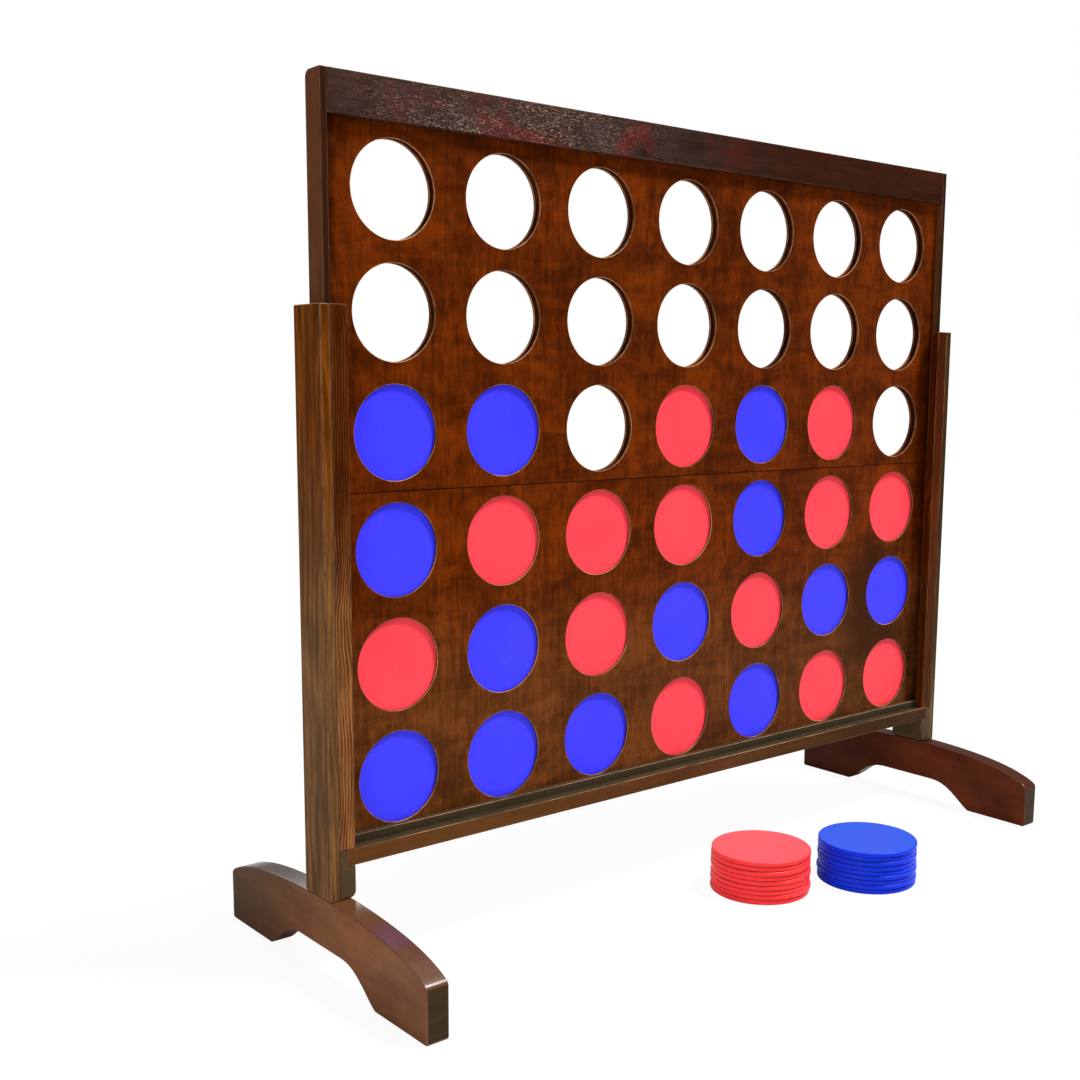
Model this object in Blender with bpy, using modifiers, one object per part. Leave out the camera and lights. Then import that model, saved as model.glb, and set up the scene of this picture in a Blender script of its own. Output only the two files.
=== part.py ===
"""Giant four in a row for the lawn.

A wooden stand (two arched feet, two channel posts) holds a perforated game board made in two halves, one on top of
the other. Discs dropped in at the top fall down seven columns and rest on a release bar under the board; the bar
pulls out to the front and lets the discs fall out below.

Metres, +Z up, X along the board, left towards -X, front towards -Y. The origin is on the ground, at the centre of
the footprint of the whole game with its two stacks of spare discs standing in front of the board.
"""

import math

import bmesh
import bpy

# ---------------------------------------------------------------- driving dimensions
GAP = 0.0003                # left between two pieces that touch
OUTER_SIDES = (("left", -1), ("right", 1))      # name, sign of X
FACES = (("front", -1), ("back", 1))            # name, sign of Y

DISC_R = 0.0715
DISC_T = 0.0066
ROUND_SIDES = 20            # sides of every large round shape

COLUMNS, ROWS = 7, 6
PITCH_X = 0.16476           # column to column
PITCH_Z = 2 * DISC_R + GAP  # row to row: the discs rest on each other
HOLE_R = 0.0585
GRID_MIDDLE_Z = 0.592       # also the seam between the board halves

PANEL_T = 0.0030            # perforated panel
SLOT = 0.0080               # space between the front and the back panels
FRAME_HALF_D = 0.0165       # half depth of the board's frame
BOARD_HALF_W = 0.5964
BOARD_TOP = 1.0750
STILE_W = 0.0090
TONGUE_W = 0.0206           # the stile's tongue between the panels, which closes the outer column
TONGUE_TOP_DROP = 0.0005    # top of the tongue below the top of its stile
TOP_ROUND = 0.0088          # the upper back edge of the board is rounded over
TOP_RAIL_H = 0.0495
BOTTOM_RAIL_TOP = 0.1750
RIB_W = 0.0204              # column guide between two columns
RIB_OVERLAP = 0.0010        # how far a guide runs into the back panel

POST_HALF_W = 0.6096        # over the posts: 4 ft overall
POST_BOARD_T = 0.0127
POST_HALF_D = 0.0305
POST_TOP = 0.8130
STRIP_T = 0.0136            # front and back strips of a post, which make its channel
FRONT_STRIP_INNER_X = 0.5740
BACK_STRIP_INNER_X = 0.5865     # the back strip covers only the edge of the board
BLOCK_TOP = 0.1422
BLOCK_ROUND = 0.0080
STOP_OVERLAP = 0.0100       # how far the bar stop runs down into its block
ROUND_SEGMENTS = 5          # of every rounded edge

BAR_TOP = 0.1635
BAR_HALF_L = 0.5855

FOOT_T = 0.0300
FOOT_TOP = 0.1020
FOOT_HALF_L = 0.2345
FOOT_DROP = 0.39            # fall of the foot's top per metre squared
END_DROP, END_POWER = 0.0108, 6.5       # further fall of the top, gathered near its end
TOP_STEPS = 14
NOSE_L = 0.0060             # eased nose, from the end of the top to the end face
NOSE_Z = 0.0655
TOE_CHAMFER = 0.0030
ARCH_TOP = 0.0390
ARCH_FLAT_HALF_L = 0.0470   # flat top of the arch
OGEE_L = 0.0800             # from the flat top out to the pad the foot stands on
OGEE_STEPS = 10

BOLT_X, BOLT_Y = 0.59085, 0.0160
BOLT_R, BOLT_TIP = 0.0029, 0.1240
TIP_EASE_R, TIP_EASE_H = 0.0006, 0.0008         # bevel round the tip
HEAD_R, HEAD_H = 0.0050, 0.0060
HEAD_BOTTOM = ARCH_TOP + 0.0006
HEAD_EASE = 0.0005
SOCKET_R, SOCKET_DEPTH = 0.0029, 0.0030
LATHE_STEPS = 12
INSERT_R, INSERT_BORE_R, INSERT_H = 0.0043, 0.0032, 0.0180
INSERT_BOTTOM = FOOT_TOP + 0.0010

DRILL_SIDES = 16
INSERT_HOLE_TOP = FOOT_TOP + 0.026
BOLT_HOLE_R = 0.0033
SINK_R, SINK_TOP = 0.0054, ARCH_TOP + 0.007

# cutters reach well past the wood they cut
HOLE_CUTTER_L = 0.060
INSERT_CUTTER_L = 0.060
BOLT_CUTTER_L, BOLT_CUTTER_Z = 0.200, 0.060
SINK_CUTTER_L = 0.040

PILE_COUNT = 9              # spare discs in each stack
PILE_STEP = DISC_T + GAP
CORE_SHARE = 0.55           # radius of a stack's core, as a share of the disc's
CORE_SHORTER = 0.0020       # height of the core less than the stack's
PILES = (                   # kind, x, y from the board's middle plane, phase of its disorder
    ("red", 0.0360, -0.1410, 0.0),
    ("blue", 0.1890, -0.2130, 1.0),
)

# discs in play, one string per row from the top; R red, B blue, a dot is an empty place
BOARD_ROWS = (".......", ".......", "BB.RBR.", "BRRRBRR", "RBRBRBB", "BBBRBRR")
DISC_KINDS = {"R": "red", "B": "blue"}

FINISHES = {                # base colour, roughness, metallic
    "frame": ((0.050, 0.022, 0.014), 0.50, 0.0),
    "panel": ((0.105, 0.046, 0.022), 0.55, 0.0),
    "post": ((0.120, 0.056, 0.028), 0.55, 0.0),
    "foot": ((0.095, 0.036, 0.022), 0.35, 0.0),
    "bar": ((0.100, 0.042, 0.022), 0.50, 0.0),
    "red": ((1.0, 0.055, 0.075), 0.55, 0.0),
    "blue": ((0.055, 0.055, 0.95), 0.55, 0.0),
    "steel": ((0.55, 0.55, 0.57), 0.35, 1.0),
    "brass": ((0.70, 0.50, 0.20), 0.35, 1.0),
}
SHARP_ANGLE = math.radians(30)
ALONG_Y = (math.radians(90), 0, 0)      # lays a cylinder along Y: its own X stays X, its own Y points up

# ---------------------------------------------------------------- derived dimensions
PANEL_IN = SLOT / 2                       # inner face of a panel, from the board's middle plane
PANEL_OUT = PANEL_IN + PANEL_T
PANEL_X = (-(BOARD_HALF_W - STILE_W - GAP), BOARD_HALF_W - STILE_W - GAP)
BOARD_BOTTOM = BAR_TOP + GAP
CHANNEL = POST_HALF_D - STRIP_T
POST_BOARD_IN = POST_HALF_W - POST_BOARD_T


def pile_offset(i, phase):
    """How far disc i of a stack is out of line, in X and Y."""
    return 0.0016 * math.sin(1.9 * i + phase), 0.0013 * math.cos(2.6 * i + phase)


def board_middle_y():
    """Y of the board's middle plane that centres the footprint, stacks included, on the origin."""
    _, _, pile_y, phase = PILES[1]        # the blue stack stands furthest forward
    front_reach = min(pile_y + pile_offset(i, phase)[1] for i in range(PILE_COUNT)) - DISC_R
    return -(front_reach + FOOT_HALF_L) / 2


BOARD_Y = board_middle_y()


def column_x(column):
    """Middle of a column, counted from 0 at the left."""
    return (column - (COLUMNS - 1) / 2) * PITCH_X


def mirrored(sign, inner, outer):
    """The range inner..outer on one side of the middle, lowest value first."""
    return sorted((sign * inner, sign * outer))


def bolts(side):
    """Name and X, Y of the two bolts of one foot."""
    return [(where, side * BOLT_X, BOARD_Y + face * BOLT_Y) for where, face in FACES]


# ---------------------------------------------------------------- a clean scene
for old in list(bpy.data.objects):
    bpy.data.objects.remove(old, do_unlink=True)

parts = bpy.data.collections.new("giant_four_in_a_row")
cutters = bpy.data.collections.new("cutters")
bpy.context.scene.collection.children.link(parts)
bpy.context.scene.collection.children.link(cutters)


# ---------------------------------------------------------------- meshes and objects
def material(name, kind):
    colour, roughness, metallic = FINISHES[kind]
    finish = bpy.data.materials.new(name)
    finish.use_nodes = True
    shader = finish.node_tree.nodes["Principled BSDF"]
    shader.inputs["Base Color"].default_value = (*colour, 1.0)
    shader.inputs["Roughness"].default_value = roughness
    shader.inputs["Metallic"].default_value = metallic
    return finish


def to_mesh(shape, name):
    mesh = bpy.data.meshes.new(name)
    shape.to_mesh(mesh)
    shape.free()
    return mesh


def box_mesh(name, *ranges):
    """A box centred on its own origin, and its place; ranges are X, Y from the board's middle plane, Z."""
    shape = bmesh.new()
    bmesh.ops.create_cube(shape, size=1.0)
    bmesh.ops.scale(shape, vec=[high - low for low, high in ranges], verts=shape.verts)
    x, y, z = [(low + high) / 2 for low, high in ranges]
    return to_mesh(shape, name), (x, y + BOARD_Y, z)


def cylinder_mesh(name, radius, height, sides=ROUND_SIDES):
    shape = bmesh.new()
    bmesh.ops.create_cone(shape, cap_ends=True, cap_tris=False, segments=sides,
                          radius1=radius, radius2=radius, depth=height)
    return to_mesh(shape, name)


def add(name, mesh, kind, place=(0, 0, 0), turn=(0, 0, 0)):
    """A piece of the game; a shared mesh that already has a finish keeps it."""
    obj = bpy.data.objects.new(name, mesh)
    parts.objects.link(obj)
    obj.location = place
    obj.rotation_euler = turn
    if not mesh.materials:
        mesh.materials.append(material(name + "_finish", kind))
    return obj


def helper(name, mesh, place, turn=(0, 0, 0)):
    """A cutting or joining shape, which is no part of the game."""
    obj = bpy.data.objects.new(name, mesh)
    cutters.objects.link(obj)
    obj.location = place
    obj.rotation_euler = turn
    obj.hide_render = True
    obj.display_type = "WIRE"
    return obj


def box(name, kind, x_range, y_range, z_range):
    mesh, place = box_mesh(name, x_range, y_range, z_range)
    return add(name, mesh, kind, place)


def helper_box(name, x_range, y_range, z_range):
    return helper(name, *box_mesh(name, x_range, y_range, z_range))


# ---------------------------------------------------------------- modifiers
def repeat(obj, count, offset):
    array = obj.modifiers.new("repeat", "ARRAY")
    array.use_relative_offset = False
    array.use_constant_offset = True
    array.constant_offset_displace = offset
    array.count = count
    array.use_merge_vertices = False
    array.merge_threshold = 0.0001


def boolean(obj, tool, operation):
    join = obj.modifiers.new(tool.name, "BOOLEAN")
    join.object = tool
    join.operation = operation
    join.solver = "EXACT"


def drill(obj, name, radius, length, place):
    """Cuts an upright round hole; place is the middle of the cutter."""
    tool = helper(name, cylinder_mesh(name, radius, length, DRILL_SIDES), place)
    boolean(obj, tool, "DIFFERENCE")


def round_edges(obj, width, wanted):
    """Rounds over the edges whose ends are both wanted, judged in the object's own coordinates."""
    weights = obj.data.attributes.new("bevel_weight_edge", "FLOAT", "EDGE")
    for edge in obj.data.edges:
        ends = [obj.data.vertices[i].co for i in edge.vertices]
        weights.data[edge.index].value = 1.0 if all(wanted(end) for end in ends) else 0.0
    bevel = obj.modifiers.new("round", "BEVEL")
    bevel.width = width
    bevel.segments = ROUND_SEGMENTS
    bevel.limit_method = "WEIGHT"


def round_upper_back(obj):
    round_edges(obj, TOP_ROUND, lambda end: end.y > 0 and end.z > 0)


def smooth(mesh):
    mesh.shade_smooth()
    mesh.set_sharp_from_angle(angle=SHARP_ANGLE)


# ---------------------------------------------------------------- the perforated board
def panels(half, z_range, lowest_row):
    """Front and back panels of one half; lowest_row is counted from 0 at the bottom of the grid."""
    # one cylinder, repeated over the grid, cuts the holes of both panels
    hole_z = GRID_MIDDLE_Z + (lowest_row - (ROWS - 1) / 2) * PITCH_Z
    holes = helper(half + "_holes", cylinder_mesh(half + "_holes", HOLE_R, HOLE_CUTTER_L),
                   (column_x(0), BOARD_Y, hole_z), ALONG_Y)
    repeat(holes, COLUMNS, (PITCH_X, 0, 0))
    repeat(holes, ROWS // 2, (0, PITCH_Z, 0))

    front = box(half + "_front_panel", "panel", PANEL_X, (-PANEL_OUT, -PANEL_IN), z_range)
    boolean(front, holes, "DIFFERENCE")

    # the column guides are one with the back panel and stop short of the front one
    rib_x = -(COLUMNS / 2 - 1) * PITCH_X
    ribs = helper_box(half + "_ribs", (rib_x - RIB_W / 2, rib_x + RIB_W / 2),
                      (-PANEL_IN + GAP, PANEL_IN + RIB_OVERLAP), z_range)
    repeat(ribs, COLUMNS - 1, (PITCH_X, 0, 0))
    back = box(half + "_back_panel", "panel", PANEL_X, (PANEL_IN, PANEL_OUT), z_range)
    boolean(back, ribs, "UNION")
    boolean(back, holes, "DIFFERENCE")


def stiles(half, z_range, stile_bottom):
    """Side stiles of one half, each with a tongue between the panels."""
    z_low, z_high = z_range
    for name, side in OUTER_SIDES:
        stile = box(f"{half}_{name}_stile", "frame",
                    mirrored(side, BOARD_HALF_W - STILE_W, BOARD_HALF_W),
                    (-FRAME_HALF_D, FRAME_HALF_D), (stile_bottom, z_high))
        if half == "upper":
            round_upper_back(stile)
        tongue = helper_box(
            f"{half}_{name}_tongue",
            mirrored(side, BOARD_HALF_W - STILE_W - TONGUE_W, BOARD_HALF_W - STILE_W / 2),
            (-PANEL_IN + GAP, PANEL_IN - GAP), (z_low, z_high - TONGUE_TOP_DROP))
        boolean(stile, tongue, "UNION")


def board():
    seam_low, seam_high = GRID_MIDDLE_Z - GAP / 2, GRID_MIDDLE_Z + GAP / 2
    panels("upper", (seam_high, BOARD_TOP), ROWS // 2)
    stiles("upper", (seam_high, BOARD_TOP), seam_high)
    panels("lower", (BOARD_BOTTOM, seam_low), 0)
    # the lower stiles stand on the base blocks
    stiles("lower", (BOARD_BOTTOM, seam_low), BLOCK_TOP + GAP)


def rails():
    for name, face in FACES:
        y_range = mirrored(face, PANEL_OUT + GAP, FRAME_HALF_D)
        top = box("top_rail_" + name, "frame", PANEL_X, y_range, (BOARD_TOP - TOP_RAIL_H, BOARD_TOP))
        if name == "back":
            round_upper_back(top)
        box("bottom_rail_" + name, "frame", PANEL_X, y_range, (BOARD_BOTTOM, BOTTOM_RAIL_TOP))


def release_bar():
    box("release_bar", "bar", (-BAR_HALF_L, BAR_HALF_L), (-POST_HALF_D, CHANNEL - GAP),
        (BLOCK_TOP + GAP, BAR_TOP))


# ---------------------------------------------------------------- stand
def post(name, side):
    """A board on the outside, with a front and a back strip that hold the game board between them."""
    strip_outer_x = POST_BOARD_IN - GAP
    box(name + "_post_board", "post", mirrored(side, POST_BOARD_IN, POST_HALF_W),
        (-POST_HALF_D, POST_HALF_D), (FOOT_TOP + GAP, POST_TOP))
    box(name + "_post_front_strip", "post", mirrored(side, FRONT_STRIP_INNER_X, strip_outer_x),
        (-POST_HALF_D, -CHANNEL), (BOARD_BOTTOM, POST_TOP))
    box(name + "_post_back_strip", "post", mirrored(side, BACK_STRIP_INNER_X, strip_outer_x),
        (CHANNEL, POST_HALF_D), (BLOCK_TOP + GAP, POST_TOP))


def base_block(name, side):
    """The block on the foot, inside the post board; its lower inner edge is rounded over."""
    block = box(name + "_base_block", "frame",
                mirrored(side, FRONT_STRIP_INNER_X, POST_BOARD_IN - GAP),
                (-POST_HALF_D, POST_HALF_D), (FOOT_TOP + GAP, BLOCK_TOP))
    round_edges(block, BLOCK_ROUND, lambda end: end.z < 0 and side * end.x < 0)
    # a stop stands up beside the end of the release bar, under the front strip
    stop = helper_box(name + "_bar_stop", mirrored(side, BAR_HALF_L + GAP, POST_BOARD_IN - 2 * GAP),
                      (-POST_HALF_D + GAP, -CHANNEL), (BLOCK_TOP - STOP_OVERLAP, BOARD_BOTTOM - GAP))
    boolean(block, stop, "UNION")
    for where, x, y in bolts(side):
        drill(block, f"{name}_insert_hole_{where}", INSERT_R + GAP, INSERT_CUTTER_L,
              (x, y, INSERT_HOLE_TOP - INSERT_CUTTER_L / 2))


def foot_outline():
    """The foot's outline as (y, z), drawn as its back half and then mirrored."""
    top_end = FOOT_HALF_L - NOSE_L
    points = []
    for i in range(TOP_STEPS + 1):                        # the long arched top, from its middle
        y = top_end * i / TOP_STEPS
        points.append((y, FOOT_TOP - FOOT_DROP * y * y - END_DROP * (y / top_end) ** END_POWER))
    points.append((FOOT_HALF_L, NOSE_Z))
    points.append((FOOT_HALF_L, TOE_CHAMFER))
    points.append((FOOT_HALF_L - TOE_CHAMFER, 0.0))
    for i in range(OGEE_STEPS, -1, -1):                   # ogee from the inner end of the pad up into the arch
        run = i / OGEE_STEPS
        skewed = run ** 1.5
        fall = 0.5 * (run * run + skewed * skewed * (3 - 2 * skewed))
        points.append((ARCH_FLAT_HALF_L + OGEE_L * run, ARCH_TOP * (1 - fall)))
    return points + [(-y, z) for y, z in reversed(points[1:])]


def foot_mesh(name):
    """The outline as a filled curve, turned into a mesh with its seams closed."""
    outline = foot_outline()
    curve = bpy.data.curves.new(name + "_curve", "CURVE")
    curve.dimensions = "2D"
    curve.fill_mode = "BOTH"
    curve.extrude = FOOT_T / 2
    line = curve.splines.new("POLY")
    line.points.add(len(outline) - 1)
    for point, (y, z) in zip(line.points, outline):
        point.co = (y, z, 0, 1)
    line.use_cyclic_u = True
    drawn = bpy.data.objects.new(name + "_curve", curve)
    parts.objects.link(drawn)
    bpy.context.view_layer.update()
    evaluated = drawn.evaluated_get(bpy.context.evaluated_depsgraph_get())
    mesh = bpy.data.meshes.new_from_object(evaluated)
    mesh.name = name
    bpy.data.objects.remove(drawn, do_unlink=True)

    shape = bmesh.new()
    shape.from_mesh(mesh)
    bmesh.ops.remove_doubles(shape, verts=shape.verts, dist=0.00001)
    bmesh.ops.recalc_face_normals(shape, faces=shape.faces)
    shape.to_mesh(mesh)
    shape.free()
    smooth(mesh)
    return mesh


def foot(name, side):
    # the outline's own X runs along Y and its own Y runs up
    obj = add(name + "_foot", foot_mesh(name + "_foot"), "foot",
              (side * (POST_HALF_W - FOOT_T / 2), BOARD_Y, 0), (math.radians(90), 0, math.radians(90)))
    for where, x, y in bolts(side):
        drill(obj, f"{name}_bolt_hole_{where}", BOLT_HOLE_R, BOLT_CUTTER_L, (x, y, BOLT_CUTTER_Z))
        drill(obj, f"{name}_bolt_sink_{where}", SINK_R, SINK_CUTTER_L,
              (x, y, SINK_TOP - SINK_CUTTER_L / 2))


# ---------------------------------------------------------------- bolts up through the feet, and their inserts
BOLT_PROFILE = (            # radius, z
    (0, BOLT_TIP),
    (BOLT_R - TIP_EASE_R, BOLT_TIP),
    (BOLT_R, BOLT_TIP - TIP_EASE_H),
    (BOLT_R, HEAD_BOTTOM + HEAD_H),
    (HEAD_R, HEAD_BOTTOM + HEAD_H),
    (HEAD_R, HEAD_BOTTOM + HEAD_EASE),
    (HEAD_R - HEAD_EASE, HEAD_BOTTOM),
    (SOCKET_R, HEAD_BOTTOM),
    (SOCKET_R, HEAD_BOTTOM + SOCKET_DEPTH),
    (0, HEAD_BOTTOM + SOCKET_DEPTH),
)
INSERT_PROFILE = (          # radius, z
    (INSERT_BORE_R, INSERT_BOTTOM + INSERT_H),
    (INSERT_R, INSERT_BOTTOM + INSERT_H),
    (INSERT_R, INSERT_BOTTOM),
    (INSERT_BORE_R, INSERT_BOTTOM),
)


def turned(name, profile, kind, place, closed=False):
    """A turned piece: a profile at +X, drawn down its outer side, swept once round Z."""
    mesh = bpy.data.meshes.new(name)
    edges = [(i, i + 1) for i in range(len(profile) - 1)]
    if closed:
        edges.append((len(profile) - 1, 0))
    mesh.from_pydata([(radius, 0, z) for radius, z in profile], edges, [])
    screw = add(name, mesh, kind, place).modifiers.new("turn", "SCREW")
    screw.angle = math.radians(360)
    screw.steps = LATHE_STEPS
    screw.render_steps = LATHE_STEPS
    screw.use_merge_vertices = True
    screw.merge_threshold = 0.00005
    screw.use_smooth_shade = False


def fixings(name, side):
    for where, x, y in bolts(side):
        turned(f"{name}_foot_bolt_{where}", BOLT_PROFILE, "steel", (x, y, 0))
        turned(f"{name}_threaded_insert_{where}", INSERT_PROFILE, "brass", (x, y, 0), closed=True)


# ---------------------------------------------------------------- discs
def disc_mesh(kind):
    mesh = cylinder_mesh(kind + "_disc", DISC_R, DISC_T)
    smooth(mesh)
    mesh.materials.append(material(kind + "_disc_finish", kind))
    return mesh


def discs_in_play():
    """Discs standing in their columns; those of one colour share a mesh."""
    meshes = {kind: disc_mesh(kind) for kind in DISC_KINDS.values()}
    for row, line in enumerate(reversed(BOARD_ROWS)):
        z = BAR_TOP + GAP + DISC_R + row * PITCH_Z
        for column, letter in enumerate(line):
            if letter != ".":
                kind = DISC_KINDS[letter]
                add(f"{kind}_disc_column_{column + 1}_row_{row + 1}", meshes[kind], kind,
                    (column_x(column), BOARD_Y, z), ALONG_Y)


def disc_pile(kind, pile_x, pile_y, phase):
    """A stack of spare discs, made one solid by a core."""
    name = kind + "_disc_pile"
    height = PILE_COUNT * PILE_STEP - GAP
    pile = add(name, cylinder_mesh(name, DISC_R * CORE_SHARE, height - CORE_SHORTER), kind,
               (pile_x, pile_y + BOARD_Y, height / 2))
    for i in range(PILE_COUNT):
        shift_x, shift_y = pile_offset(i, phase)
        disc = helper(f"{name}_{i + 1}", cylinder_mesh(f"{name}_{i + 1}", DISC_R, DISC_T),
                      (pile_x + shift_x, pile_y + shift_y + BOARD_Y, i * PILE_STEP + DISC_T / 2))
        boolean(pile, disc, "UNION")


# ---------------------------------------------------------------- the whole game
board()
rails()
release_bar()
for side_name, side_sign in OUTER_SIDES:
    post(side_name, side_sign)
    base_block(side_name, side_sign)
    foot(side_name, side_sign)
    fixings(side_name, side_sign)
discs_in_play()
for pile_entry in PILES:
    disc_pile(*pile_entry)
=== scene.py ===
"""An upright four-in-a-row game: a perforated wooden board on a stand with arched feet.

The board stands in the X-Z plane, its columns side by side along X, with the floor at Z = 0.
Left is -X, front is -Y. The upper half of the board is its own body, as are the release bar
and each played disc; the rest belongs to the stand. Lengths are in metres.
"""

import itertools
import math

import bmesh
import bpy
from mathutils import Matrix, Vector


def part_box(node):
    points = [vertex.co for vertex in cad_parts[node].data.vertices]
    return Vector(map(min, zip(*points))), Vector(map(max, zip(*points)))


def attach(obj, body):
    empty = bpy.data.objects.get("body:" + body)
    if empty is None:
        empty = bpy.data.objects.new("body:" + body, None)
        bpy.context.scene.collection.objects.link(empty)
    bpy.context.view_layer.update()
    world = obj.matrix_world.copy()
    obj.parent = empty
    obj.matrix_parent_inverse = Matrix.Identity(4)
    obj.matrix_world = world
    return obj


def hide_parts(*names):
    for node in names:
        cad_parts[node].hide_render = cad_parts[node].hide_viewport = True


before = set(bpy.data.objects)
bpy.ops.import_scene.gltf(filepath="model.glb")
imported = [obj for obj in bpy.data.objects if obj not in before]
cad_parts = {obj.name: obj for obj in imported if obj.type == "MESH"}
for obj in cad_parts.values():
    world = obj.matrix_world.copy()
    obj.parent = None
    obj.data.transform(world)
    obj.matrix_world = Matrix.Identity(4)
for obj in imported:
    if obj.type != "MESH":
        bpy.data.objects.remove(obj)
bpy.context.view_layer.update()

X, Y, Z = 0, 1, 2
SIDES = (("left", -1), ("right", 1))
HALVES = (("upper", "upper_board"), ("lower", "stand"))      # half of the board, its body

# the grid of windows
COLUMNS, ROWS = 7, 6
HALF_ROWS = ROWS // 2
PITCH_X, PITCH_Z = 0.16476, 0.1433
WINDOW_RADIUS = 0.0585
GRID_CENTRE_Z = 0.592
BOARD_Y = sum(v.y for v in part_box("left_post_board")) / 2    # middle plane of the board

TOP_ROUND = 0.0088         # radius along the upper back edge of the board
BLOCK_TOP = 0.1422         # height of the top of the base blocks
DISC_RADIUS = 0.0715
BOLT_X, BOLT_Y = 0.59085, 0.016    # bolt axes, from the middle of the stand and of a foot


# ---------------------------------------------------------------------------- shader nodes
seeds = itertools.count(1)


class Tree:
    """A short way to write a material's nodes. Each tree has its own seed, in order of making."""

    def __init__(self, name):
        self.seed = next(seeds)
        self.material = bpy.data.materials.new(name)
        self.material.use_nodes = True
        self.nodes = self.material.node_tree.nodes
        self.links = self.material.node_tree.links
        self.shader = self.nodes["Principled BSDF"]
        self.coord = self.add("ShaderNodeTexCoord").outputs["Object"]

    def add(self, kind, **values):
        node = self.nodes.new(kind)
        for key, value in values.items():
            setattr(node, key, value)
        return node

    def put(self, value, socket):
        """Link a socket, or set a number or an opaque colour of three numbers."""
        if isinstance(value, bpy.types.NodeSocket):
            self.links.new(value, socket)
        elif isinstance(value, tuple):
            socket.default_value = (*value, 1.0)
        else:
            socket.default_value = value

    def surface(self, values):
        for name, value in values.items():
            self.put(value, self.shader.inputs[name])

    def calc(self, operation, first, second=0.0, third=None, clamp=False):
        node = self.add("ShaderNodeMath", operation=operation, use_clamp=clamp)
        self.put(first, node.inputs[0])
        self.put(second, node.inputs[1])
        if third is not None:
            self.put(third, node.inputs[2])
        return node.outputs[0]

    def times(self, first, second, clamp=False):
        return self.calc("MULTIPLY", first, second, clamp=clamp)

    def sway(self, value, amount, base, centre=0.5, clamp=False):
        """base, moved by amount times the distance of value from centre."""
        offset = self.calc("SUBTRACT", value, centre)
        return self.calc("MULTIPLY_ADD", offset, amount, base, clamp=clamp)

    def above(self, value, threshold, gain):
        """0 up to the threshold, then rising by gain to 1."""
        return self.times(self.calc("SUBTRACT", value, threshold, clamp=True), gain, clamp=True)

    def band(self, value, centre, peak, slope):
        """peak at the centre, falling by slope to either side, held between 0 and 1."""
        away = self.calc("ABSOLUTE", self.calc("ADD", value, -centre))
        return self.calc("SUBTRACT", peak, self.times(away, slope), clamp=True)

    def smoothstep(self, value, start, end, low=0.0, high=1.0):
        node = self.add("ShaderNodeMapRange", interpolation_type="SMOOTHSTEP")
        for socket, setting in zip(node.inputs, (value, start, end, low, high)):
            self.put(setting, socket)
        return node.outputs[0]

    def mix(self, factor, first, second):
        node = self.add("ShaderNodeMix", data_type="RGBA", blend_type="MIX")
        self.put(factor, node.inputs[0])
        self.put(first, node.inputs[6])
        self.put(second, node.inputs[7])
        return node.outputs[2]

    def split(self, vector):
        node = self.add("ShaderNodeSeparateXYZ")
        self.links.new(vector, node.inputs[0])
        return node.outputs

    def normal_z(self):
        return self.split(self.add("ShaderNodeNewGeometry").outputs["Normal"])[Z]

    def noise(self, seed, stretch, scale, detail, rough, distortion=0.0):
        """Noise in object coordinates, moved by the seeds so that no two show the same grain."""
        seed += self.seed
        place = self.add("ShaderNodeMapping")
        self.links.new(self.coord, place.inputs["Vector"])
        place.inputs["Location"].default_value = (seed * 1.37 % 7, seed * 2.11 % 5, seed * 0.73 % 3)
        place.inputs["Scale"].default_value = stretch
        node = self.add("ShaderNodeTexNoise")
        self.links.new(place.outputs["Vector"], node.inputs["Vector"])
        node.inputs["Scale"].default_value = scale
        node.inputs["Detail"].default_value = detail
        node.inputs["Roughness"].default_value = rough
        node.inputs["Distortion"].default_value = distortion
        return node.outputs["Fac"]

    def ramp(self, factor, stops):
        node = self.add("ShaderNodeValToRGB")
        self.put(factor, node.inputs[0])
        elements = node.color_ramp.elements
        while len(elements) < len(stops):
            elements.new(0.5)
        for element, (at, colour) in zip(elements, stops):
            element.position = at
            element.color = (*colour, 1.0)
        return node.outputs[0]

    def roughness(self, limits, first, second):
        """Roughness between two limits, led by two (value, share) pairs."""
        lead = self.calc("ADD", self.times(*first), self.times(*second))
        return self.calc("MULTIPLY_ADD", lead, limits[1] - limits[0], limits[0])

    def bump(self, height, strength, distance):
        node = self.add("ShaderNodeBump")
        node.inputs["Strength"].default_value = strength
        node.inputs["Distance"].default_value = distance
        self.links.new(height, node.inputs["Height"])
        self.links.new(node.outputs["Normal"], self.shader.inputs["Normal"])


def srgb(red, green, blue):
    """An sRGB colour of 0 to 255 as a linear one."""
    return tuple(c / 255 / 12.92 if c <= 10 else ((c / 255 + 0.055) / 1.055) ** 2.4
                 for c in (red, green, blue))


def scaled(colour, factor):
    return tuple(c * factor for c in colour)


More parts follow.
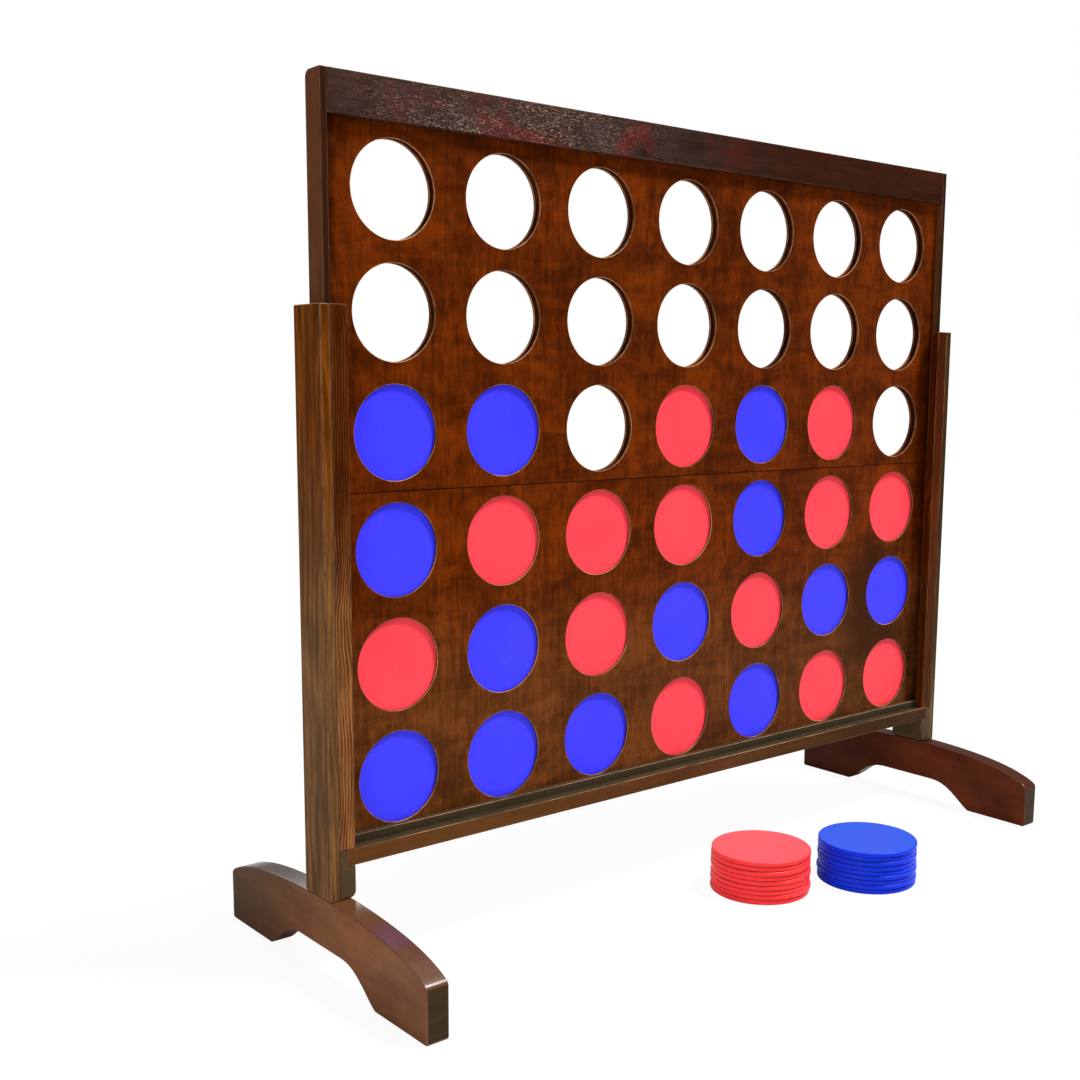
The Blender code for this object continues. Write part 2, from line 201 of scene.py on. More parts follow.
# ---------------------------------------------------------------------------- wood
class Wood(Tree):
    """The layers of a stained wood whose grain runs along one axis."""

    def __init__(self, name, axis):
        super().__init__(name)
        self.axis = axis

    def grain(self, seed, stretch, **noise):
        """Noise drawn out along the grain: the smaller the stretch, the longer the marks."""
        scale = [1.0, 1.0, 1.0]
        scale[self.axis] = stretch
        return self.noise(seed, scale, **noise)

    def stain(self, value, tones):
        return self.ramp(value, list(zip((0.22, 0.50, 0.80), tones)))

    def growth_rings(self, scale, count, stretch, straight):
        ring = self.grain(seed=0, stretch=stretch, scale=scale, detail=2.0, rough=0.45,
                          distortion=0.25)
        ring = self.times(ring, count)
        if straight:
            place = self.split(self.coord)
            first, second = (place[i] for i in (X, Y, Z) if i != self.axis)
            ring = self.calc("MULTIPLY_ADD", first, straight, ring)
            ring = self.calc("MULTIPLY_ADD", second, 0.63 * straight, ring)
        ring = self.calc("PINGPONG", ring, 1.0)
        return self.calc("POWER", ring, 1.5)

    def graded_along(self, colour, value, uneven, axis, start, end, tones):
        """The colour shifts to other tones along an axis. On the panel, posts, boards, rail and bar
        this is painted light: painted reflection of the pale floor on the lower parts, and of the
        glare along the rail and bar. On the feet it only makes the colour darker towards the back.
        """
        place = self.split(self.coord)[axis]
        warp = self.sway(uneven, 0.5 * (end - start), place)
        return self.mix(self.smoothstep(warp, start, end), colour, self.stain(value, tones))

    def with_red_stain_and_glare(self, colour, strength):
        """Patches where the stain runs redder, with painted glare: glints and greyer patches
        painted on as reflection, strongest round one place along the rail.
        """
        x = self.split(self.coord)[X]
        ruddy = self.grain(seed=7, stretch=0.85, scale=17.0, detail=4.0, rough=0.65, distortion=0.5)
        ruddy = self.above(ruddy, threshold=0.45, gain=6.0)
        zone = self.band(x, centre=-0.18, peak=1.30, slope=3.2)
        colour = self.mix(self.times(self.times(ruddy, zone), 0.75), colour, srgb(88, 19, 20))
        # greyer patches: painted reflection of the glare
        grey_glare = self.grain(seed=13, stretch=0.7, scale=14.0, detail=3.0, rough=0.6)
        grey_glare = self.above(grey_glare, threshold=0.50, gain=5.0)
        colour = self.mix(self.times(self.times(grey_glare, zone), 0.40), colour, srgb(60, 54, 52))
        # glints: painted highlights, gathered round x = -0.31 where the glare fell
        glint = self.grain(seed=5, stretch=0.24, scale=860.0, detail=4.0, rough=0.9)
        glint = self.above(glint, threshold=0.545, gain=9.0)
        where = self.grain(seed=6, stretch=0.45, scale=26.0, detail=5.0, rough=0.75)
        where = self.above(where, threshold=0.35, gain=4.6)
        fall = self.band(x, centre=-0.31, peak=1.45, slope=5.0)
        amount = self.times(self.times(glint, where), self.times(fall, strength))
        warm = self.mix(self.times(ruddy, 0.8), srgb(196, 158, 138), srgb(208, 128, 122))
        return self.mix(amount, colour, warm)

    def with_shade_spot(self, colour, uneven, x, z, radius, amount):
        """A round spot of painted shade, darkest in its middle."""
        place = self.split(self.coord)
        across = self.calc("SUBTRACT", place[X], x)
        along = self.calc("SUBTRACT", place[Z], z)
        square = self.calc("ADD", self.times(across, across), self.times(along, along))
        away = self.sway(uneven, 0.25, self.calc("POWER", square, 0.5))
        near = self.calc("SUBTRACT", 1.0, self.calc("DIVIDE", away, radius), clamp=True)
        shade_strength = self.times(near, 1.6, clamp=True)
        return self.mix(self.times(shade_strength, amount), colour, srgb(48, 22, 4))

    def edge_shadowed(self, colour, uneven, dark, edges, reach=0.014):
        """Painted shadow gathered along the given edges, each an axis and a place on it."""
        place = self.split(self.coord)
        near = 0.0
        for axis, at in edges:
            gap = self.calc("ABSOLUTE", self.calc("SUBTRACT", place[axis], at))
            gap = self.calc("DIVIDE", self.sway(uneven, 0.012, gap), reach)
            shade = self.calc("POWER", self.calc("SUBTRACT", 1.0, gap, clamp=True), 0.8)
            near = self.calc("MAXIMUM", near, shade)
        return self.mix(self.times(near, 0.86), colour, scaled(dark, 0.28))


# tones     dark, middle and light tone of the stain
# rings     strength of the growth rings; ring_scale, ring_count and ring_stretch shape them
# straight  parallel grain lines to a metre of width
# fibre     strength of the fine fibres; streak: of the wider ones
# patch     strength of the uneven stain, patch_stretch long; blotch: of spots of size speck
# figure    strength of the faint bars across a veneer
# pore      darkness of the open pores
# rough     roughness limits; specular and tint: strength and colour of the reflection
# coat      weight of the lacquer, which lies thick on faces that look up
# tone_gradient, painted_shade_spot, shadow_edges, stain_and_glare: see the methods of Wood (a tone
# shift that is mostly painted reflection, a spot of painted shade, painted shadow along edges, red
# stain with painted glints and painted reflection)
def wood(name, axis, *, tones, rings, fibre, streak, patch, blotch, specular, figure=0.0,
         rough=(0.36, 0.56), tint=(1.0, 0.62, 0.40), coat=0.0, bump=0.25, ring_scale=9.0,
         ring_count=8.0, ring_stretch=0.10, straight=0.0, patch_stretch=0.4, speck=42.0,
         pore=0.4, stain_and_glare=0.0, tone_gradient=None, painted_shade_spot=None, shadow_edges=()):
    """Stained wood: growth rings, fine fibres, open pores and uneven stain."""
    tree = Wood(name, axis)
    dark = tones[0]
    ring = tree.growth_rings(ring_scale, ring_count, ring_stretch, straight)
    fibres = tree.grain(seed=31, stretch=0.05, scale=420.0, detail=5.0, rough=0.65)
    streaks = tree.grain(seed=44, stretch=0.06, scale=110.0, detail=3.0, rough=0.6)
    uneven = tree.grain(seed=57, stretch=patch_stretch, scale=10.0, detail=4.0, rough=0.6,
                        distortion=0.8)
    spots = tree.grain(seed=83, stretch=0.75, scale=speck, detail=4.0, rough=0.65, distortion=0.5)
    weight = rings
    if straight:
        # the lines stand out in some stretches and sink into the stain in others
        vary = tree.grain(seed=71, stretch=0.30, scale=34.0, detail=2.0, rough=0.5)
        vary = tree.times(tree.calc("SUBTRACT", vary, 0.34), 3.6, clamp=True)
        weight = tree.times(vary, 1.35 * rings)
    value = tree.sway(ring, weight, 0.5, centre=0.42)
    for layer, share in ((fibres, fibre * 0.6), (streaks, streak * 0.7), (uneven, patch * 0.9),
                         (spots, blotch * 0.7)):
        value = tree.sway(layer, 2.0 * share, value)
    if figure:
        bars = tree.noise(seed=97, stretch=(0.45, 1.0, 1.7), scale=26.0, detail=4.0, rough=0.6,
                          distortion=0.6)
        value = tree.sway(bars, 2.0 * figure, value)
    value = tree.calc("ADD", value, 0.0, clamp=True)
    colour = tree.stain(value, tones)
    # a tone gradient along an axis, mostly painted reflection
    if tone_gradient:
        colour = tree.graded_along(colour, value, uneven, **tone_gradient)
    # open pores: short dark dashes along the grain
    pores = tree.grain(seed=11, stretch=0.09, scale=1050.0, detail=2.0, rough=0.5)
    pores = tree.above(pores, threshold=0.60, gain=5.0)
    colour = tree.mix(tree.times(pores, pore), colour, scaled(dark, 0.5))
    # red stain patches, with painted glints and painted grey glare reflection
    if stain_and_glare:
        colour = tree.with_red_stain_and_glare(colour, stain_and_glare)
    # a round spot of painted shade
    if painted_shade_spot:
        colour = tree.with_shade_spot(colour, uneven, **painted_shade_spot)
    # painted shadow along the given edges
    if shadow_edges:
        colour = tree.edge_shadowed(colour, uneven, dark, shadow_edges)
    coat_weight = coat
    if coat:
        upward = tree.calc("MAXIMUM", tree.normal_z(), 0.0)
        upward = tree.times(upward, 1.6, clamp=True)
        # faces that look up are painted darker: painted shade
        colour = tree.mix(tree.times(upward, 0.86), colour, scaled(dark, 0.62))
        coat_weight = tree.times(upward, coat)
    tree.surface({
        "Base Color": colour,
        "Roughness": tree.roughness(rough, (fibres, 0.6), (uneven, 0.4)),
        "Specular IOR Level": specular,
        "Specular Tint": tint,
        "Coat Weight": coat_weight,
        "Coat Roughness": 0.2,
    })
    height = tree.calc("MULTIPLY_ADD", streaks, 0.5, fibres)
    height = tree.calc("SUBTRACT", height, tree.times(pores, 0.8))
    tree.bump(height, strength=bump, distance=0.0006)
    return tree.material


def stain(red, green, blue, low=0.70, high=1.32):
    """The dark, middle and light tone of a stain, from its middle one in sRGB."""
    middle = srgb(red, green, blue)
    return (scaled(middle, low), middle, scaled(middle, high))


AMBER = (1.0, 0.38, 0.06)

PANEL = dict(
    tones=stain(82, 30, 1, low=0.50, high=1.78), rings=0.06, fibre=0.86, streak=0.26, patch=0.62,
    blotch=0.55, figure=0.45, rough=(0.42, 0.62), tint=AMBER, specular=0.06, bump=0.14,
    patch_stretch=0.75, pore=0.35, speck=80.0,
    # tone gradient: painted reflection of the pale floor, the lower rows paler and browner
    tone_gradient=dict(axis=Z, start=0.50, end=0.27, tones=stain(86, 45, 17, low=0.55, high=1.65)),
    # painted shade: a darker spot at the panel's lower right
    painted_shade_spot=dict(x=0.44, z=0.335, radius=0.15, amount=0.80))
FRAME = dict(
    tones=stain(62, 33, 18), rings=0.15, fibre=0.6, streak=0.35, patch=0.5, blotch=0.4,
    specular=0.12)
STILE = dict(
    tones=stain(86, 49, 26), rings=0.10, fibre=0.6, streak=0.4, patch=0.45, blotch=0.35,
    specular=0.10)
STILE_FRONT = dict(STILE, tones=stain(43, 19, 9), specular=0.08, tint=AMBER)
# the rail: greyish tones and glints that are painted glare reflection, over red stain patches
RAIL = dict(
    tones=stain(47, 31, 25, low=0.6, high=1.4), rings=0.20, fibre=0.9, streak=0.6, patch=0.8,
    blotch=0.6, specular=0.08, stain_and_glare=1.0, tint=(1.0, 0.7, 0.55),
    # tone gradient: from the painted grey glare reflection of the left part to the rail's own dark
    # red-brown at the right
    tone_gradient=dict(axis=X, start=-0.05, end=0.25, tones=stain(48, 18, 5)))
POST_BACK = dict(
    tones=stain(86, 46, 20, low=0.45, high=1.9), rings=0.55, fibre=0.55, streak=0.5, patch=0.35,
    blotch=0.3, specular=0.08, bump=0.35, ring_scale=12.0, ring_count=22.0, straight=480.0,
    ring_stretch=0.42)
POST_LEFT = dict(
    POST_BACK, tones=stain(69, 30, 5, low=0.45, high=1.9), rings=0.52, fibre=0.62, patch=0.40,
    specular=0.06, tint=AMBER,
    # tone gradient: painted reflection of the pale floor, the lower part paler
    tone_gradient=dict(axis=Z, start=0.62, end=0.38, tones=stain(114, 71, 38, low=0.42, high=1.9)))
POST_RIGHT = dict(
    POST_LEFT, tones=stain(70, 22, 0, low=0.5, high=1.9),
    # tone gradient: painted reflection of the pale floor on the lower part
    tone_gradient=dict(axis=Z, start=0.60, end=0.30, tones=stain(64, 27, 0, low=0.45, high=2.2)))
BOARD_LEFT = dict(
    tones=stain(91, 46, 6, low=0.58, high=1.65), rings=0.34, fibre=0.70, streak=0.80, patch=0.50,
    blotch=0.30, specular=0.05, bump=0.28, ring_scale=10.0, ring_count=14.0, straight=230.0,
    ring_stretch=0.25, tint=AMBER,
    # tone gradient: painted reflection of the pale floor, the lower part paler
    tone_gradient=dict(axis=Z, start=0.70, end=0.35, tones=stain(101, 69, 38, low=0.6, high=1.6)))
BOARD_RIGHT = dict(
    BOARD_LEFT, tones=stain(58, 38, 16, low=0.6, high=1.5),
    # tone gradient: painted reflection of the pale floor, the lower part olive-grey
    tone_gradient=dict(axis=Z, start=0.34, end=0.14, tones=stain(78, 66, 42, low=0.65, high=1.5)))
# the feet's coat also paints their upward faces darker: painted shade
FOOT_LEFT = dict(
    tones=stain(115, 72, 45), rings=0.14, fibre=0.30, streak=0.25, patch=0.80, blotch=0.35,
    rough=(0.32, 0.46), specular=0.08, bump=0.06, ring_count=12.0, tint=(1.0, 0.75, 0.65),
    # the tone gradient makes the foot darker towards the back
    pore=0.2, coat=0.55, tone_gradient=dict(axis=Y, start=0.02, end=0.26, tones=stain(82, 57, 34)))
FOOT_RIGHT = dict(
    FOOT_LEFT, tones=stain(84, 36, 15, low=0.62, high=1.4),
    # the tone gradient makes the foot darker towards the back
    tone_gradient=dict(axis=Y, start=0.02, end=0.26, tones=stain(72, 32, 15)))
END_GRAIN = dict(
    tones=stain(59, 47, 30, low=0.75, high=1.25), rings=0.25, fibre=0.2, streak=0.2, patch=0.5,
    blotch=0.5, rough=(0.45, 0.6), specular=0.06, bump=0.15, ring_scale=30.0, ring_count=20.0)
BAR = dict(
    tones=stain(85, 51, 21), rings=0.22, fibre=0.55, streak=0.45, patch=0.45, blotch=0.35,
    # tone gradient: painted reflection, the bar lighter at its left and darker towards the right
    # end
    specular=0.08, bump=0.2, tone_gradient=dict(axis=X, start=0.05, end=0.45, tones=stain(52, 31, 9)))
DARK_RAIL = dict(
    tones=stain(55, 46, 32, low=0.78, high=1.22), rings=0.10, fibre=0.4, streak=0.3, patch=0.5,
    blotch=0.3, specular=0.08)
OLIVE = dict(
    tones=stain(72, 57, 36), rings=0.15, fibre=0.55, streak=0.45, patch=0.5, blotch=0.35,
    specular=0.10)
CUT = dict(
    tones=stain(30, 18, 12), rings=0.1, fibre=0.6, streak=0.5, patch=0.5, blotch=0.4,
    specular=0.10)
# the worn edges: real wear, and their lighter tone is also painted highlight along edges that catch
# the light
WORN_AND_LIT = dict(
    tones=stain(138, 98, 68, low=0.45, high=1.6), rings=0.1, fibre=0.7, streak=0.5, patch=1.2,
    blotch=1.0, specular=0.05)


def worn_and_lit(name, axis, bright):
    """The rubbed edge of a piece, where the stain has thinned; its lighter tone is also painted
    highlight, the thin light lines along edges that catch the light.
    """
    tones = tuple(scaled(tone, bright) for tone in WORN_AND_LIT["tones"])
    return wood(name + "_worn_lit_edge", axis, **dict(WORN_AND_LIT, tones=tones))


# ---------------------------------------------------------------------------- plastic and metal
EVEN = (1, 1, 1)


def plastic(name, base, deep, rough, specular, top=None):
    """Moulded plastic: a fine matte grain, faint unevenness and a few rubbed patches."""
    tree = Tree(name)
    soft = tree.noise(seed=0, stretch=EVEN, scale=14.0, detail=2.0, rough=0.5)
    grain = tree.noise(seed=9, stretch=EVEN, scale=1900.0, detail=2.0, rough=0.6)
    scuff = tree.noise(seed=17, stretch=EVEN, scale=70.0, detail=6.0, rough=0.7, distortion=1.2)
    scuff = tree.above(scuff, threshold=0.62, gain=3.0)
    colour = tree.ramp(tree.sway(soft, 0.9, 0.55, clamp=True), [(0.1, deep), (0.6, base)])
    colour = tree.mix(tree.times(scuff, 0.10), colour, (1.0, 1.0, 1.0))
    if top:
        # the flat upper side is painted paler than the rim: painted light from above
        normal_z = tree.normal_z()
        upward = tree.calc("MAXIMUM", normal_z, 0.0)
        colour = tree.mix(tree.calc("POWER", upward, 6.0, clamp=True), colour, top)
        # the rounded under edge is hidden from the light by the disc it rests on
        under = tree.above(tree.times(normal_z, -1.0), threshold=0.10, gain=1.8)
        colour = tree.mix(tree.times(under, 0.75), colour, scaled(deep, 0.30))
    tree.surface({
        "Base Color": colour,
        "Roughness": tree.roughness(rough, (grain, 0.5), (scuff, 0.7)),
        "Specular IOR Level": specular,
    })
    tree.bump(grain, strength=0.12, distance=0.0002)
    return tree.material


def metal(name, colour, rough):
    """Metal brushed along Z, with faint stains."""
    tree = Tree(name)
    brushed = tree.noise(seed=0, stretch=(1, 1, 0.05), scale=900.0, detail=3.0, rough=0.6)
    spots = tree.noise(seed=3, stretch=EVEN, scale=160.0, detail=4.0, rough=0.6)
    tree.surface({
        "Base Color": tree.ramp(spots, [(0.3, scaled(colour, 0.7)), (0.6, colour)]),
        "Metallic": 1.0,
        "Roughness": tree.calc("MULTIPLY_ADD", brushed, 0.25, rough),
    })
    tree.bump(brushed, strength=0.1, distance=0.0002)
    return tree.material


# ---------------------------------------------------------------------------- mesh helpers
def mesh_object(name, mesh_name, shape):
    """A linked object from a bmesh, which is used up."""
    mesh = bpy.data.meshes.new(mesh_name)
    shape.to_mesh(mesh)
    shape.free()
    obj = bpy.data.objects.new(name, mesh)
    bpy.context.scene.collection.objects.link(obj)
    return obj


def piece(name, shape, body, node, materials, bevel=0.0, segments=3, edge_material=None,
          bevel_angle=35, sharp_angle=50):
    """An object riding on its body and standing for its CAD node, if it has one."""
    shape.normal_update()
    obj = mesh_object(name, name, shape)
    for material in materials:
        obj.data.materials.append(material)
    obj.data.shade_smooth()
    if bevel:
        edges = obj.modifiers.new("edges", "BEVEL")
        edges.width = bevel
        edges.segments = segments
        edges.limit_method = "ANGLE"
        edges.angle_limit = math.radians(bevel_angle)
        edges.harden_normals = True
        if edge_material is not None:
            edges.material = edge_material
    else:
        obj.data.set_sharp_from_angle(angle=math.radians(sharp_angle))
    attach(obj, body)
    if node:
        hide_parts(node)
    return obj


def box_mesh(low, high):
    low, high = Vector(low), Vector(high)
    shape = bmesh.new()
    bmesh.ops.create_cube(shape, size=1.0)
    for v in shape.verts:
        v.co = Vector(((low[i] + high[i]) / 2 + v.co[i] * (high[i] - low[i])) for i in range(3))
    return shape


def prism(outline, axis, start, end):
    """An outline in the two other axes, drawn out along one axis from start to end."""
    shape = bmesh.new()
    corners = []
    for point in outline:
        place = list(point)
        place.insert(axis, start)
        corners.append(shape.verts.new(place))
    face = shape.faces.new(corners)
    out = bmesh.ops.extrude_face_region(shape, geom=[face])
    for item in out["geom"]:
        if isinstance(item, bmesh.types.BMVert):
            item.co[axis] = end
    bmesh.ops.recalc_face_normals(shape, faces=shape.faces)
    return shape


def paint(shape, material_index, chosen):
    """Give the chosen faces a material."""
    for face in shape.faces:
        face.normal_update()
        if chosen(face):
            face.material_index = material_index


def quarter_turn(steps):
    """(cosine, sine) at even steps from 0 to 90 degrees."""
    angles = [math.pi / 2 * i / steps for i in range(steps + 1)]
    return [(math.cos(a), math.sin(a)) for a in angles]


def top_section(low, high, steps):
    """A box's outline in Y-Z, its upper back corner rounded over; square with no steps."""
    corner = [(high.y, high.z)]
    if steps:
        corner = [(high.y - TOP_ROUND + TOP_ROUND * cos, high.z - TOP_ROUND + TOP_ROUND * sin)
                  for cos, sin in quarter_turn(steps)]
    return [(low.y, low.z), (high.y, low.z), *corner, (low.y, high.z)]


def beam(name, node, body, kit, axis, bevel, worn_lit_bright, upper=None):
    """A straight timber filling its CAD box; upper is the wood of its top face."""
    shape = box_mesh(*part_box(node))
    materials = [wood(name + "_wood", axis, **kit), worn_and_lit(name, axis, worn_lit_bright)]
    if upper:
        materials.append(wood(name + "_upper_wood", axis, **upper))
        paint(shape, 2, lambda face: face.normal.z > 0.9)
    piece(name, shape, body, node, materials, bevel=bevel, edge_material=1)


def inner_strip(name, low, high, body):
    """A strip between the panels, with no CAD node of its own."""
    piece(name, box_mesh(low, high), body, None, [wood(name + "_wood", Z, **FRAME)],
          bevel=0.0006, segments=2)


# ---------------------------------------------------------------------------- panels
BACK_PANEL_THICK = 0.003
GUIDE_HALF_WIDTH = 0.0102
GUIDE_BACK_GAP = 0.0032        # from the back of the back panel to the guides
SEAM_EASE = 0.0009             # raises the lower front edge of the upper half
WINDOW_CHAMFER = 0.0007
CELL_SIDE_STEPS = 24           # points along each side of a window's cell
PANEL_FACE, PANEL_RIM, PANEL_CUT = 0, 1, 2     # material indices


def cell_borders(first, centres, last):
    return [first, *((a + b) / 2 for a, b in zip(centres, centres[1:])), last]


def panel_cell(shape, centre, corners, front_y, back_y, outer_sides):
    """One window in its cell: rings of points run from the cell's border to the window's rim,
    through the thickness, and back out to the border on the far side."""
    chamfer, radius, apron = WINDOW_CHAMFER, WINDOW_RADIUS, 0.004
    # (radius, y) of each ring, from the front; None stands for the cell's border
    rings = [
        (None, front_y),
        (radius + chamfer + apron, front_y),
        (radius + chamfer, front_y),
        (radius + 0.3 * chamfer, front_y + 0.3 * chamfer),
        (radius, front_y + chamfer),
        (radius, back_y - chamfer),
        (radius + 0.3 * chamfer, back_y - 0.3 * chamfer),
        (radius + chamfer, back_y),
        (radius + chamfer + apron, back_y),
        (None, back_y),
    ]
    step_materials = {2: PANEL_RIM, 3: PANEL_RIM, 4: PANEL_CUT, 5: PANEL_RIM, 6: PANEL_RIM}
    border, angles = [], []
    for side in range(4):
        (ax, az), (bx, bz) = corners[side], corners[(side + 1) % 4]
        for i in range(CELL_SIDE_STEPS):
            part = i / CELL_SIDE_STEPS
            border.append((ax + (bx - ax) * part, az + (bz - az) * part))
            angles.append(math.radians(45 + 90 * (side + part)))
    loops = []
    for ring_radius, y in rings:
        if ring_radius is None:
            points = border
        else:
            points = [(centre[0] + ring_radius * math.cos(a), centre[1] + ring_radius * math.sin(a))
                      for a in angles]
        loops.append([shape.verts.new((x, y, z)) for x, z in points])
    count = len(border)
    for step, (near, far) in enumerate(zip(loops, loops[1:])):
        for i in range(count):
            j = (i + 1) % count
            face = shape.faces.new((near[i], far[i], far[j], near[j]))
            face.material_index = step_materials.get(step, PANEL_FACE)
    # the outer edge of the panel, where this cell reaches it
    front, back = loops[0], loops[-1]
    for side in outer_sides:
        for i in range(side * CELL_SIDE_STEPS, (side + 1) * CELL_SIDE_STEPS):
            j = (i + 1) % count
            face = shape.faces.new((front[j], back[j], back[i], front[i]))
            face.material_index = PANEL_CUT


def panel_mesh(bottom, top, half_width, front_y, back_y, first_row):
    shape = bmesh.new()
    zs = [GRID_CENTRE_Z + (ROWS / 2 - 0.5 - (first_row + row)) * PITCH_Z
          for row in range(HALF_ROWS)]
    xs = [(column - (COLUMNS - 1) / 2) * PITCH_X for column in range(COLUMNS)]
    z_edges = cell_borders(top, zs, bottom)
    x_edges = cell_borders(-half_width, xs, half_width)
    for row, z in enumerate(zs):
        for column, x in enumerate(xs):
            left, right = x_edges[column:column + 2]
            upper, lower = z_edges[row:row + 2]
            corners = [(right, upper), (left, upper), (left, lower), (right, lower)]
            # top, left, bottom, right
            reaches = (row == 0, column == 0, row == HALF_ROWS - 1, column == COLUMNS - 1)
            outer_sides = [side for side in range(4) if reaches[side]]
            panel_cell(shape, (x, z), corners, front_y, back_y, outer_sides)
    bmesh.ops.remove_doubles(shape, verts=shape.verts, dist=0.00002)
    bmesh.ops.recalc_face_normals(shape, faces=shape.faces)
    return shape


def panel(half, body, face):
    node = f"{half}_{face}_panel"
    low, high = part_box(node)
    front_y = low.y if face == "front" else high.y - BACK_PANEL_THICK
    first_row = 0 if half == "upper" else HALF_ROWS
    shape = panel_mesh(low.z, high.z, high.x, front_y, high.y, first_row)
    # painted shadow along the panel's left edge beside the post and, on the upper panel, its top
    # edge under the top rail
    shadow_edges = []
    if face == "front":
        shadow_edges.append((X, low.x))
        if half == "upper":
            shadow_edges.insert(0, (Z, high.z))
            # the halves close on each other behind a fine groove
            for v in shape.verts:
                if abs(v.co.z - low.z) < 0.00001 and abs(v.co.y - front_y) < 0.00001:
                    v.co.z += SEAM_EASE
    # the window rims take the worn edge's lighter tone, partly painted highlight
    materials = [wood(node + "_wood", Z, shadow_edges=shadow_edges, **PANEL), worn_and_lit(node, Z, 1.15),
                 wood(node + "_cut_edge", X, **CUT)]
    piece(node + "_board", shape, body, node, materials, sharp_angle=20)


def panels():
    for half, body in HALVES:
        for face in ("front", "back"):
            panel(half, body, face)
        # the guides between the columns, each its own strip
        low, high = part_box(f"{half}_back_panel")
        for i in range(1, COLUMNS):
            x = (i - COLUMNS / 2) * PITCH_X
            inner_strip(f"{half}_column_guide_{i}", (x - GUIDE_HALF_WIDTH, low.y, low.z),
                        (x + GUIDE_HALF_WIDTH, high.y - GUIDE_BACK_GAP, high.z),
                        body)


# ---------------------------------------------------------------------------- stiles and top rail
STILE_WIDTH = 0.009
TONGUE_WIDTH = 0.0206
TONGUE_HALF_THICK = 0.0037
TONGUE_GAP = 0.0001            # at either side of the tongue
TONGUE_TOP_GAP = 0.0005


def stile(half, body, side, sign):
    """A strip at the end of the board, and its tongue between the panels."""
    node = f"{half}_{side}_stile"
    low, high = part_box(node)
    outer = high.x if sign > 0 else low.x
    inner = outer - sign * STILE_WIDTH
    outline = top_section(low, high, steps=8 if half == "upper" else 0)
    shape = prism(outline, X, min(inner, outer), max(inner, outer))
    paint(shape, 2, lambda face: abs(face.normal.y) > 0.9)
    materials = [wood(node + "_wood", Z, **STILE), worn_and_lit(node, Z, 0.25),
                 wood(node + "_front_wood", Z, **STILE_FRONT)]
    piece(node + "_strip", shape, body, node, materials, bevel=0.0010,
          edge_material=1, bevel_angle=50)
    bottom = low.z if half == "upper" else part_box("lower_front_panel")[0].z
    left, right = sorted((inner, outer - sign * (STILE_WIDTH + TONGUE_WIDTH)))
    inner_strip(node + "_tongue", (left + TONGUE_GAP, BOARD_Y - TONGUE_HALF_THICK, bottom),
                (right - TONGUE_GAP, BOARD_Y + TONGUE_HALF_THICK, high.z - TONGUE_TOP_GAP),
                body)


def stiles():
    for half, body in HALVES:
        for side, sign in SIDES:
            stile(half, body, side, sign)


def back_top_rail():
    """The back top rail, its upper back edge rounded over."""
    node = "top_rail_back"
    low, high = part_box(node)
    shape = prism(top_section(low, high, steps=10), X, low.x, high.x)
    materials = [wood(node + "_wood", X, **RAIL), worn_and_lit(node, X, 0.25)]
    piece(node + "_strip", shape, "upper_board", node, materials, bevel=0.0009,
          edge_material=1, bevel_angle=50)


# ---------------------------------------------------------------------------- beams and posts
def rails_and_bar():
    beam("top_rail_front_strip", "top_rail_front", "upper_board", RAIL, X,
         bevel=0.0010, worn_lit_bright=0.22)
    for face in ("front", "back"):
        beam(f"bottom_rail_{face}_strip", f"bottom_rail_{face}", "stand",
             DARK_RAIL, X, bevel=0.0007, worn_lit_bright=0.8)
    beam("release_bar_strip", "release_bar", "release_bar", BAR, X,
         bevel=0.0009, worn_lit_bright=0.75, upper=DARK_RAIL)


def posts():
    for side, board, front in (("left", BOARD_LEFT, POST_LEFT), ("right", BOARD_RIGHT, POST_RIGHT)):
        post = side + "_post"
        # part, CAD node, wood, bevel, brightness of the worn edge, partly painted highlight
        for part, node, kit, bevel, bright in (
                ("outer_board", "board", board, 0.0012, 0.55),
                ("front_lip", "front_strip", front, 0.0009, 0.35),
                ("back_lip", "back_strip", POST_BACK, 0.0009, 0.35)):
            beam(f"{post}_{part}", f"{post}_{node}", "stand", kit, Z,
                 bevel=bevel, worn_lit_bright=bright)


# ---------------------------------------------------------------------------- drilling
def apply_modifiers(obj):
    bpy.context.view_layer.update()
    graph = bpy.context.evaluated_depsgraph_get()
    mesh = bpy.data.meshes.new_from_object(obj.evaluated_get(graph), depsgraph=graph,
                                           preserve_all_data_layers=True)
    obj.modifiers.clear()
    obj.data = mesh


def drill(obj, kind, side, sign, y, z, cylinders):
    """Cut the two bolt holes, each of cylinders (segments, radius, depth, rise above z)."""
    cutters = []
    for where, offset in (("front", -BOLT_Y), ("back", BOLT_Y)):
        shape = bmesh.new()
        for segments, radius, depth, rise in cylinders:
            bmesh.ops.create_cone(shape, cap_ends=True, segments=segments, radius1=radius,
                                  radius2=radius, depth=depth,
                                  matrix=Matrix.Translation((0, 0, rise)))
        cutter = mesh_object(f"{side}_{kind}_{where}", kind, shape)
        cutter.location = (sign * BOLT_X, y + offset, z)
        hole = obj.modifiers.new(kind, "BOOLEAN")
        hole.object = cutter
        hole.operation = "DIFFERENCE"
        hole.solver = "EXACT"
        hole.use_self = len(cylinders) > 1      # the cylinders of one cutter overlap
        cutters.append(cutter)
    apply_modifiers(obj)
    for cutter in cutters:
        bpy.data.objects.remove(cutter, do_unlink=True)


